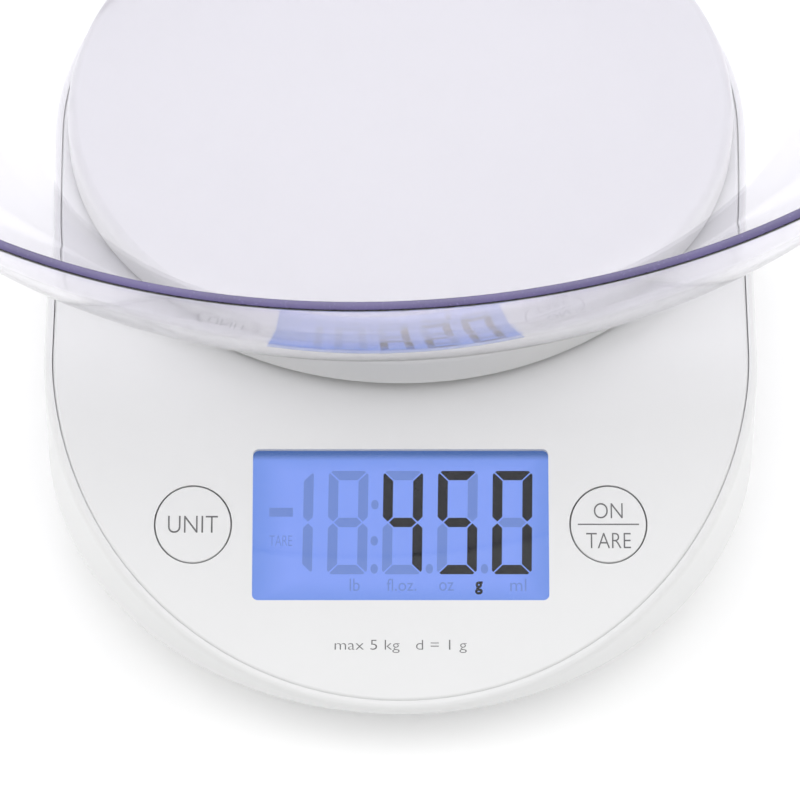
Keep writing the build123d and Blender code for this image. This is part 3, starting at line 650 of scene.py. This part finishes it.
class SCALE_OT_display(bpy.types.Operator):
    """Build the display's segments, light its glass and finish its window"""

    bl_idname = "kitchen_scale.display"
    bl_label = "Build the display"

    def execute(self, context):
        settings = context.scene.scale_display
        self.glass(settings)
        self.window()
        lit, idle = bmesh.new(), bmesh.new()
        self.digits(settings, lit, idle)
        self.signs(lit, idle)
        height = (level("lcd_panel") + self.window_floor()) / 2
        for name, bm, material in (
            ("display_reading", lit, self.ink(settings)),
            ("display_idle_segments", idle, self.ghost(settings)),
        ):
            thicken(bm, INK_FILM)
            bmesh.ops.transform(bm, matrix=on_panel("lcd_panel", height), verts=bm.verts)
            piece(name, bm, material, "case")
        return {"FINISHED"}

    def window_floor(self):
        """How low the window reaches along the panel's normal."""
        return min(v.co.dot(PANEL_NORMAL) for v in frame["nodes"]["display_window"].data.vertices)

    def digits(self, settings, lit, idle):
        """Five digits in a row, the first only a one; the reading fills the last ones."""
        count = 5
        text = settings.reading.rjust(count)
        lean = Matrix.Identity(4)
        lean[0][1] = settings.lean
        for index in range(count):
            shown = SEGMENTS_ON.get(text[index], "")
            x = settings.middle_x + (index - count // 2) * settings.digit_pitch
            spot = Matrix.Translation((x, settings.middle_y, 0)) @ lean
            for letter in "bc" if index == 0 else "abcdefg":
                bm = lit if letter in shown else idle
                verts = segment(bm, letter, settings)
                bmesh.ops.transform(bm, matrix=spot, verts=verts)

    def signs(self, lit, idle):
        """Minus, points, and the words round the digits."""
        bar(idle, *(Vector(corner) * MM for corner in MINUS_CORNERS))
        for x, y in POINTS:
            dot(idle, x * MM, y * MM, *(side * MM for side in POINT_SIZE))
        for bm, words in ((idle, IDLE_WORDS), (lit, LIT_WORDS)):
            for text, x, y, across, tall, stroke in words:
                word(bm, text, (x * MM, y * MM), (across * MM, tall * MM), stroke)

    def ink(self, settings):
        """Dark liquid crystal, very slightly cloudy."""
        material, tree, shader = material_of("active segments", Specular_IOR_Level=0.1)
        grainy(tree, shader, rgba(settings.ink), Tone_spread=0.4, **FILM)
        return material

    def ghost(self, settings):
        """Idle liquid crystal: the backlight a little dimmer."""
        material, tree, shader = material_of(
            "idle segments", Base_Color=(0, 0, 0, 1), Specular_IOR_Level=0.1, Emission_Strength=1.0
        )
        grainy(tree, shader, rgba(settings.ghost), "Emission_Color", Tone_spread=0.06, **FILM)
        return material

    def glass(self, settings):
        """Lit glass, darker towards the edges of its window, with a painted shadow of the window's recess
        along the top.
        """
        material, tree, shader = material_of(
            "lit display", Base_Color=(0.004, 0.006, 0.02, 1), Specular_IOR_Level=0.1, Emission_Strength=1.0
        )
        centre = middle("lcd_panel")
        axes = split(tree, place(tree, offset=centre, turn=(-PANEL_TILT, 0, 0)))
        low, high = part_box("display_window")
        half_width = (high.x - low.x) / 2 - settings.window_lap
        half_height = settings.window_height / 2
        across = ramp(tree, math(tree, "ABSOLUTE", axes["X"]), half_width - 9 * MM, half_width + MM)
        along = ramp(tree, math(tree, "ABSOLUTE", axes["Y"]), half_height - 6 * MM, half_height + MM)
        # shadow_end and top mark a painted shadow: a band along the top edge where the opening's upper wall
        # shades the glass
        shadow_end = half_height - 0.3 * MM
        top = ramp(tree, axes["Y"], shadow_end - 1.9 * MM, shadow_end)
        edge = math(tree, "MAXIMUM", across, along)
        colour_out = mix(tree, edge, rgba(settings.glow), rgba(settings.edge))
        # painted shadow colour, mixed in along the top edge
        shaded = mix(tree, math(tree, "MULTIPLY", top, 0.75), colour_out, (0.04, 0.10, 0.27, 1.0))
        cloud = math(tree, "MULTIPLY_ADD", noise(tree, place(tree), 220.0, 2.0), 0.05, 0.975)
        scaled = add(tree, "ShaderNodeVectorMath", operation="SCALE")
        tree.links.new(shaded, scaled.inputs[0])
        tree.links.new(cloud, scaled.inputs["Scale"])
        feed(tree, shader, Emission_Color=scaled.outputs[0])
        moulded = shared(tree, "moulded", Roughness=0.3)
        feed(tree, shader, Roughness=moulded["Roughness"])
        paint(material, "lcd_panel")

    def window(self):
        """Clear hard-coated window with hair-fine marks."""
        material, tree, shader = material_of(
            "clear window",
            Base_Color=(0.985, 0.99, 1.0, 1),
            Transmission_Weight=1.0,
            IOR=1.3,
            Specular_IOR_Level=0.25,
        )
        marks = shared(tree, "marks", Amount=0.03, Scale=90.0)
        moulded = shared(tree, "moulded", Roughness=0.02, Roughness_spread=0.01, Grain_scale=900.0)
        rough = math(tree, "ADD", moulded["Roughness"], marks["Mask"])
        feed(tree, shader, Roughness=rough)
        let_lamps_through(tree, shader, (0.95, 0.96, 0.98))
        paint(material, "display_window")


# ---- legends ----


# legends on each key: text, how far above the key's middle, width, height, in millimetres
KEY_LEGENDS = {
    "unit": (("UNIT", 0.0, 11.4, 4.1),),
    "tare": (("ON", 3.3, 6.6, 3.7), ("TARE", -3.9, 10.2, 3.7)),
}


class SCALE_OT_prints(bpy.types.Operator):
    """Print the legends on the keys and a plain range mark below the display"""

    bl_idname = "kitchen_scale.prints"
    bl_label = "Print the legends"

    def execute(self, context):
        settings = context.scene.scale_print
        material = self.ink(settings)
        top = level("unit_button")
        middle_row = on_panel("lcd_panel", top)
        for key, words in KEY_LEGENDS.items():
            bm = bmesh.new()
            for text, up, across, tall in words:
                word(bm, text, (0, up * MM), (across * MM, tall * MM), THIN_STROKE)
            if key == "tare":
                half_line = Vector((settings.line_length, settings.line_width)) / 2
                bar(bm, -half_line, half_line)
            thicken(bm, settings.thickness)
            spot = middle_row.copy()
            spot.translation.x = middle(key + "_button").x
            bmesh.ops.transform(bm, matrix=spot, verts=bm.verts)
            piece(key + "_legend", bm, material, key + "_button")
        mark = bmesh.new()
        size = (settings.capacity_width, settings.capacity_height)
        word(mark, settings.capacity, (0, -settings.capacity_drop), size, THIN_STROKE)
        thicken(mark, settings.thickness)
        bmesh.ops.transform(mark, matrix=middle_row, verts=mark.verts)
        piece("capacity_mark", mark, material, "case")
        return {"FINISHED"}

    def ink(self, settings):
        """Dark grey printed ink."""
        material, tree, shader = material_of("legend ink", Specular_IOR_Level=0.4)
        tint = rgba(settings.ink)
        moulded = grainy(tree, shader, tint, Roughness=0.5, Grain_scale=3000.0, Tone_spread=0.25)
        bump(tree, shader, moulded["Height"], 3e-6)
        return material


# ---- bowl ----

# side of the bowl from the foot up: radius of each arc in millimetres and the slope it ends at
BOWL_ARCS = ((36.0, 35.0), (85.0, 70.0), (265.0, 73.5))


class SCALE_OT_bowl(bpy.types.Operator):
    """Build the clear oval bowl, one skin drawn from foot to rim and back down inside"""

    bl_idname = "kitchen_scale.bowl"
    bl_label = "Build the bowl"

    def execute(self, context):
        settings = context.scene.scale_bowl
        rings = self.rings(settings)
        bm = bmesh.new()
        made = bmesh.ops.create_circle(bm, cap_ends=True, segments=settings.segments, radius=1.0)["verts"]
        last = (1.0, 1.0, 0.0)
        edges = list({e for v in made for e in v.link_edges})
        verts = made
        for index, ring in enumerate(rings):
            if index:
                grown = bmesh.ops.extrude_edge_only(bm, edges=edges)["geom"]
                verts = [g for g in grown if isinstance(g, bmesh.types.BMVert)]
                edges = [g for g in grown if isinstance(g, bmesh.types.BMEdge)]
            bmesh.ops.scale(bm, verts=verts, vec=(ring[0] / last[0], ring[1] / last[1], 1))
            bmesh.ops.translate(bm, verts=verts, vec=(0, 0, ring[2] - last[2]))
            last = ring
        bmesh.ops.edgeloop_fill(bm, edges=edges)
        top = max(v.co.z for v in bm.verts)
        rim_edges = [e for e in bm.edges if all(v.co.z > top - WELD for v in e.verts)]
        around = [e for e in rim_edges if any(f.normal.z < 0.9 for f in e.link_faces)]
        bmesh.ops.recalc_face_normals(bm, faces=bm.faces)
        for face in bm.faces:
            face.material_index = int(face.calc_center_median().z > top - settings.rim_depth)
        bmesh.ops.bevel(
            bm, geom=around, offset=settings.rim_round, segments=4, profile=0.5, affect="EDGES", material=-1
        )
        low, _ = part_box("bowl")
        tray = middle("tray")
        move = Matrix.Translation((tray.x, tray.y, low.z)) @ Matrix.Rotation(settings.turn, 4, "Z")
        bmesh.ops.transform(bm, matrix=move, verts=bm.verts)
        bmesh.ops.recalc_face_normals(bm, faces=bm.faces)
        bowl = piece("mixing_bowl", bm, self.clear(settings), "bowl", smooth=True)
        bowl.data.materials.append(self.rim(settings))
        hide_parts("bowl")
        return {"FINISHED"}

    def profile(self, steps=12):
        """Side as (reach inwards from the rim, height, slope), from the foot up."""
        points = [(0.0, 0.0, 0.0)]
        slope_in = 0.0
        for radius, end in BOWL_ARCS:
            x, z, _ = points[-1]
            for step in range(1, steps + 1):
                angle = radians(slope_in + (end - slope_in) * step / steps)
                start = radians(slope_in)
                run = radius * MM * (sin(angle) - sin(start))
                rise = radius * MM * (cos(start) - cos(angle))
                points.append((x + run, z + rise, angle))
            slope_in = end
        reach = points[-1][0]
        return [(reach - run, rise, angle) for run, rise, angle in points]

    def rings(self, settings, foot_oval=0.45, fill=0.8, rim_clear=1.5 * MM):
        """Half-axes and height of each ring: up the outside, over the rim, down the inside."""
        side = self.profile()
        height = side[-1][1]
        outside, inside = [], []
        for inward, rise, angle in side:
            share = foot_oval + (1 - foot_oval) * (rise / height) ** fill
            long = settings.short_axis + (settings.long_axis - settings.short_axis) * share - inward
            short = settings.short_axis - inward
            outside.append((long, short, rise))
            shrink = settings.wall * sin(angle)
            inside.append((long - shrink, short - shrink, rise + settings.wall * cos(angle)))
        level_wall = settings.wall / sin(side[-1][2])
        long, short, top = outside[-1]
        inside = [ring for ring in inside if ring[2] < top - rim_clear]
        inside.append((long - level_wall, short - level_wall, top))
        return outside + inside[::-1]

    def clear(self, settings):
        """Clear plastic with a faint violet tint, and a deeper violet painted towards the rim for the glow
        of light carried along the wall.
        """
        material, tree, shader = material_of(
            "clear bowl plastic", Transmission_Weight=1.0, IOR=1.49, Specular_IOR_Level=0.5
        )
        _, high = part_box("bowl")
        height = split(tree, place(tree))["Z"]
        # painted glow: the tint deepens over the top few millimetres, where light carried along the wall
        # shows violet
        rim = ramp(tree, height, high.z - settings.fade, high.z - 0.2 * MM, 0.0, 0.6)
        painted_glow_tint = (0.66, 0.62, 0.85, 1.0)
        feed(tree, shader, Base_Color=mix(tree, rim, rgba(settings.body), painted_glow_tint))
        marks = shared(tree, "marks", Amount=0.05, Scale=40.0)
        moulded = shared(tree, "moulded", Roughness=0.035, Roughness_spread=0.02, Grain_scale=400.0)
        rough = math(tree, "ADD", moulded["Roughness"], marks["Mask"])
        feed(tree, shader, Roughness=rough)
        let_lamps_through(tree, shader, (0.93, 0.925, 0.95))
        return material

    def rim(self, settings):
        """Painted violet glow of the rim, where the tint of the whole wall shows, with fine painted glints.
        """
        material, tree, shader = material_of(
            "violet bowl rim with painted glow", Transmission_Weight=0.0, IOR=1.49, Coat_Roughness=0.1, Coat_Weight=0.3
        )
        painted_glints = ramp(tree, noise(tree, place(tree), 1900.0, 2.0, 0.7), 0.60, 0.72)
        patches = ramp(tree, noise(tree, place(tree), 60.0, 3.0), 0.3, 0.7)
        # dark and the rim colour make the painted glow, uneven in patches; light is the colour of the
        # painted glints
        dark = rgba([0.78 * c for c in settings.rim])
        light = rgba([1.25 * c + 0.04 for c in settings.rim])
        body = mix(tree, patches, dark, rgba(settings.rim))
        rough = math(tree, "MULTIPLY_ADD", patches, 0.1, 0.28)
        feed(tree, shader, Base_Color=mix(tree, painted_glints, body, light), Roughness=rough)
        bump(tree, shader, painted_glints, 8e-6)
        return material


# ---- insides ----


class SCALE_OT_insides(bpy.types.Operator):
    """Finish the electronics, the load cell, the screws and the power supply"""

    bl_idname = "kitchen_scale.insides"
    bl_label = "Finish the insides"

    def execute(self, context):
        self.metals()
        self.plastics()
        self.board()
        self.chip()
        self.strips()
        self.lights()
        self.batteries()
        self.wires()
        return {"FINISHED"}

    def metals(self):
        """Aluminium load cell and spacer, plated screws, springs, contacts and board parts."""
        paint(metal("drawn aluminium", (0.72, 0.73, 0.74), 0.32), "load_cell", "cell_spacer")
        screws = metal("zinc-plated steel", (0.60, 0.61, 0.60), 0.3, direction=(1.0, 1.0, 0.1))
        paint(screws, "case_screws", "tray_screws", "support_screws", "cell_screws", "board_screws")
        paint(metal("spring wire", (0.66, 0.65, 0.62), 0.24, direction=(1, 1, 1)), "battery_springs")
        paint(metal("nickel-plated strip", (0.70, 0.68, 0.63), 0.28), "contact_plates")
        paint(metal("tinned part", (0.68, 0.69, 0.70), 0.35, direction=(1, 1, 1)), "board_parts")

    def plastics(self):
        """Supports, frames, headers, switches and the sealing compound."""
        for name, tint, roughness, nodes in (
            ("glass-filled plastic", (0.62, 0.62, 0.61), 0.5, ("tray_support",)),
            ("black frame plastic", (0.018, 0.018, 0.02), 0.45, ("lcd_frame",)),
            ("cream header plastic", (0.72, 0.68, 0.56), 0.42, ("wire_connectors",)),
            ("switch plastic", (0.03, 0.03, 0.033), 0.4, ("unit_switch", "tare_switch")),
            ("switch pin plastic", (0.45, 0.06, 0.04), 0.38, ("unit_plunger", "tare_plunger")),
            ("sealing compound", (0.80, 0.79, 0.75), 0.55, ("gauge_seals",)),
        ):
            paint(plastic(name, tint, roughness, grain=1400.0, relief=1.5e-5, spread=0.12), *nodes)

    def board(self):
        """Green laminate with paler copper tracks and tinned pads."""
        material, tree, shader = material_of("board laminate", IOR=1.55)
        coords = place(tree, offset=middle("circuit_board"), turn=(-PANEL_TILT, 0, 0))
        tracks = add(
            tree,
            "ShaderNodeTexBrick",
            offset=0.5,
            inputs={
                "Scale": 1.0,
                "Mortar Size": 0.00022,
                "Brick Width": 0.0072,
                "Row Height": 0.0019,
            },
        )
        tree.links.new(coords, tracks.inputs["Vector"])
        pads = add(tree, "ShaderNodeTexVoronoi", inputs={"Scale": 260.0, "Randomness": 0.35})
        tree.links.new(coords, pads.inputs["Vector"])
        pad_radius = 0.16
        pad = math(tree, "LESS_THAN", pads.outputs["Distance"], pad_radius)
        laminate = mix(tree, tracks.outputs["Fac"], (0.010, 0.085, 0.030, 1), (0.022, 0.17, 0.062, 1))
        tint = mix(tree, pad, laminate, (0.66, 0.65, 0.60, 1))
        rough = math(tree, "MULTIPLY_ADD", pad, -0.08, 0.38)
        feed(tree, shader, Base_Color=tint, Metallic=pad, Roughness=rough)
        bump(tree, shader, math(tree, "ADD", pad, tracks.outputs["Fac"]), 3e-5)
        paint(material, "circuit_board")

    def chip(self):
        """Glossy black resin with slow ripples."""
        material, tree, shader = material_of("chip resin", Coat_Roughness=0.08)
        grainy(tree, shader, (0.012, 0.012, 0.013, 1), Roughness=0.22, Tone_spread=0.3)
        bump(tree, shader, noise(tree, place(tree), 240.0, 1.0), 1.5e-4)
        paint(material, "controller_chip")

    def strips(self):
        """Contact rubber: thin conducting layers between pale insulating ones."""
        material, tree, shader = material_of("contact rubber", Specular_IOR_Level=0.3)
        pitch = 0.4 * MM
        x = split(tree, place(tree))["X"]
        layer = math(tree, "GREATER_THAN", math(tree, "FRACT", math(tree, "DIVIDE", x, pitch)), 0.5)
        tint = mix(tree, layer, (0.72, 0.42, 0.42, 1), (0.02, 0.02, 0.02, 1))
        feed(tree, shader, Base_Color=tint, Roughness=math(tree, "MULTIPLY_ADD", layer, 0.1, 0.6))
        paint(material, "zebra_strips")

    def lights(self):
        """Frosted light guide with its dots, and the two lamps in its edge."""
        material, tree, shader = material_of(
            "frosted light guide", Emission_Strength=0.6, Specular_IOR_Level=0.4
        )
        dots = add(tree, "ShaderNodeTexVoronoi", inputs={"Scale": 900.0, "Randomness": 0.0})
        tree.links.new(place(tree), dots.inputs["Vector"])
        mask = ramp(tree, dots.outputs["Distance"], 0.2, 0.35)
        tint = mix(tree, mask, (0.9, 0.92, 0.95, 1), (0.70, 0.74, 0.82, 1))
        light = mix(tree, mask, (0.3, 0.42, 0.95, 1), (0.2, 0.3, 0.8, 1))
        rough = math(tree, "MULTIPLY_ADD", mask, 0.2, 0.35)
        feed(tree, shader, Base_Color=tint, Emission_Color=light, Roughness=rough)
        paint(material, "light_guide")
        lamp, tree, shader = material_of("lamp resin", Emission_Strength=1.5)
        glow = noise(tree, place(tree), 1200.0)
        light = mix(tree, glow, (0.25, 0.35, 0.9, 1), (0.5, 0.6, 1.0, 1))
        tint = mix(tree, glow, (0.75, 0.6, 0.2, 1), (0.85, 0.72, 0.3, 1))
        feed(tree, shader, Emission_Color=light, Base_Color=tint)
        paint(lamp, "backlight_leds")

    def batteries(self):
        """Plain wrapped cells: dark sleeve, pale band towards the nub, bare metal ends."""
        material, tree, shader = material_of("battery skin", Coat_Roughness=0.15)
        low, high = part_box("batteries")
        centre = middle("batteries")
        axes = split(tree, place(tree, offset=centre))
        half = (high.y - low.y) / 2
        way = math(tree, "SIGN", axes["X"])
        along = math(tree, "MULTIPLY", way, axes["Y"])
        band_start, bare_end = 0.42 * half, 4.2 * MM
        band = math(tree, "GREATER_THAN", along, band_start)
        ends = math(tree, "GREATER_THAN", math(tree, "ABSOLUTE", axes["Y"]), half - bare_end)
        sleeve = mix(tree, band, (0.03, 0.035, 0.045, 1), (0.55, 0.56, 0.57, 1))
        moulded = shared(tree, "moulded", Colour=sleeve, Roughness=0.3, Tone_spread=0.15)
        tint = mix(tree, ends, moulded["Colour"], (0.7, 0.69, 0.66, 1))
        feed(tree, shader, Base_Color=tint, Metallic=ends, Roughness=moulded["Roughness"])
        paint(material, "batteries")

    def wires(self):
        """Soft cord skin: one red and one black battery lead, a grey bundle from the load cell."""
        material, tree, shader = material_of("battery lead skin", Specular_IOR_Level=0.4)
        low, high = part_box("battery_wires")
        header_inset, bay_inset = 2.7 * MM, 7.1 * MM
        header_x = low.x + header_inset
        bay_x = high.x - bay_inset
        axes = split(tree, place(tree, offset=(header_x, low.y, 0)))
        run = (bay_x - header_x) / (high.y - low.y)
        side = math(tree, "SUBTRACT", axes["X"], math(tree, "MULTIPLY", axes["Y"], run))
        red = math(tree, "GREATER_THAN", side, 0.0)
        tint = mix(tree, red, (0.015, 0.015, 0.016, 1), (0.45, 0.02, 0.015, 1))
        grainy(tree, shader, tint, Roughness=0.42, Tone_spread=0.12)
        paint(material, "battery_wires")
        paint(plastic("bundle skin", (0.32, 0.32, 0.33), 0.45, grain=900.0, spread=0.15), "load_cell_wires")


# ---- stage ----


# large soft lamps, one high behind and a low one on each side: name, place, diameter, watts
LAMPS = (
    ("back lamp", (-0.2, 1.6, 1.3), 1.3, 6.5),
    ("left lamp", (-1.6, -0.1, 0.8), 1.2, 4.0),
    ("right lamp", (1.6, -0.1, 0.8), 1.2, 4.0),
)


class SCALE_OT_stage(bpy.types.Operator):
    """Set out the pale floor, the soft lamps and the camera"""

    bl_idname = "kitchen_scale.stage"
    bl_label = "Set the stage"

    def execute(self, context):
        settings = context.scene.scale_stage
        self.floor(settings)
        self.sky(context, settings)
        self.lamps()
        self.camera(context, settings)
        context.scene.view_settings.view_transform = "Standard"
        return {"FINISHED"}

    def floor(self, settings):
        """Wide pale floor, softly lit from below as a light table is."""
        bm = bmesh.new()
        bmesh.ops.create_grid(bm, x_segments=4, y_segments=4, size=settings.floor_reach)
        mesh = bpy.data.meshes.new("floor")
        bm.to_mesh(mesh)
        bm.free()
        material, tree, shader = material_of(
            "pale floor",
            Specular_IOR_Level=0.15,
            Emission_Color=(1, 1, 1, 1),
            Emission_Strength=settings.floor_glow,
        )
        tint = rgba(settings.floor)
        grainy(tree, shader, tint, Roughness=0.7, Tone_spread=0.01, Grain_scale=300.0)
        mesh.materials.append(material)
        floor = bpy.data.objects.new("floor", mesh)
        bpy.context.scene.collection.objects.link(floor)

    def sky(self, context, settings):
        """Pale surroundings, brightest overhead, dimmer towards the horizon and dimmest in front."""
        world = bpy.data.worlds.new("studio")
        world.use_nodes = True
        tree = world.node_tree
        direction = add(tree, "ShaderNodeTexCoord").outputs["Generated"]
        axes = split(tree, direction)
        height = math(tree, "MAXIMUM", axes["Z"], 0.0)
        front = math(tree, "MINIMUM", axes["Y"], 0.0)
        gain = settings.zenith - settings.horizon
        strength = math(tree, "MULTIPLY_ADD", height, gain, settings.horizon)
        strength = math(tree, "MULTIPLY_ADD", front, settings.front_shade, strength)
        background = tree.nodes["Background"]
        background.inputs["Color"].default_value = (1, 1, 1, 1)
        tree.links.new(strength, background.inputs["Strength"])
        context.scene.world = world

    def lamps(self):
        """Disk lamps turned to the tray."""
        aim = middle("tray")
        for name, place_at, size, power in LAMPS:
            light = bpy.data.lights.new(name, "AREA")
            light.shape = "DISK"
            light.size = size
            light.energy = power
            lamp = bpy.data.objects.new(name, light)
            lamp.location = place_at
            lamp.rotation_euler = (aim - Vector(place_at)).to_track_quat("-Z", "Y").to_euler()
            bpy.context.scene.collection.objects.link(lamp)

    def camera(self, context, settings):
        """Long-lens camera in front of the display."""
        low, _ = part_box("lower_case")
        aim = Vector((-settings.aim_left, low.y + settings.aim_back, settings.aim_height))
        back = Vector((0, -cos(settings.elevation), sin(settings.elevation)))
        data = bpy.data.cameras.new("camera")
        data.lens = settings.lens
        data.sensor_width = 36.0
        data.clip_end = 50.0
        camera = bpy.data.objects.new("camera", data)
        camera.location = aim + back * settings.distance
        camera.rotation_euler = (-back).to_track_quat("-Z", "Y").to_euler()
        context.scene.collection.objects.link(camera)
        context.scene.camera = camera


# ---- panel and registration ----


STEPS = ("stage", "casing", "display", "prints", "bowl", "insides")


class SCALE_PT_panel(bpy.types.Panel):
    """Lists the steps that dress the kitchen scale, and their settings"""

    bl_idname = "SCALE_PT_panel"
    bl_label = "Kitchen scale"
    bl_space_type = "VIEW_3D"
    bl_region_type = "UI"
    bl_category = "Kitchen scale"

    def draw(self, context):
        layout = self.layout
        for step in STEPS:
            layout.operator("kitchen_scale." + step)
        for name, settings in SETTINGS.items():
            box = layout.box()
            box.label(text=name.replace("scale_", "").capitalize())
            for prop in settings.__annotations__:
                box.prop(getattr(context.scene, name), prop)


SETTINGS = {
    "scale_casing": CasingSettings,
    "scale_display": DisplaySettings,
    "scale_print": PrintSettings,
    "scale_bowl": BowlSettings,
    "scale_stage": StageSettings,
}

CLASSES = (
    *SETTINGS.values(),
    SCALE_OT_stage,
    SCALE_OT_casing,
    SCALE_OT_display,
    SCALE_OT_prints,
    SCALE_OT_bowl,
    SCALE_OT_insides,
    SCALE_PT_panel,
)


def register():
    for cls in CLASSES:
        bpy.utils.register_class(cls)
    for name, settings in SETTINGS.items():
        setattr(bpy.types.Scene, name, PointerProperty(type=settings))


def unregister():
    for name in SETTINGS:
        delattr(bpy.types.Scene, name)
    for cls in reversed(CLASSES):
        bpy.utils.unregister_class(cls)


def main():
    """Registers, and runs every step."""
    register()
    for step in STEPS:
        getattr(bpy.ops.kitchen_scale, step)()
    bpy.context.view_layer.update()


if __name__ == "__main__":
    main()
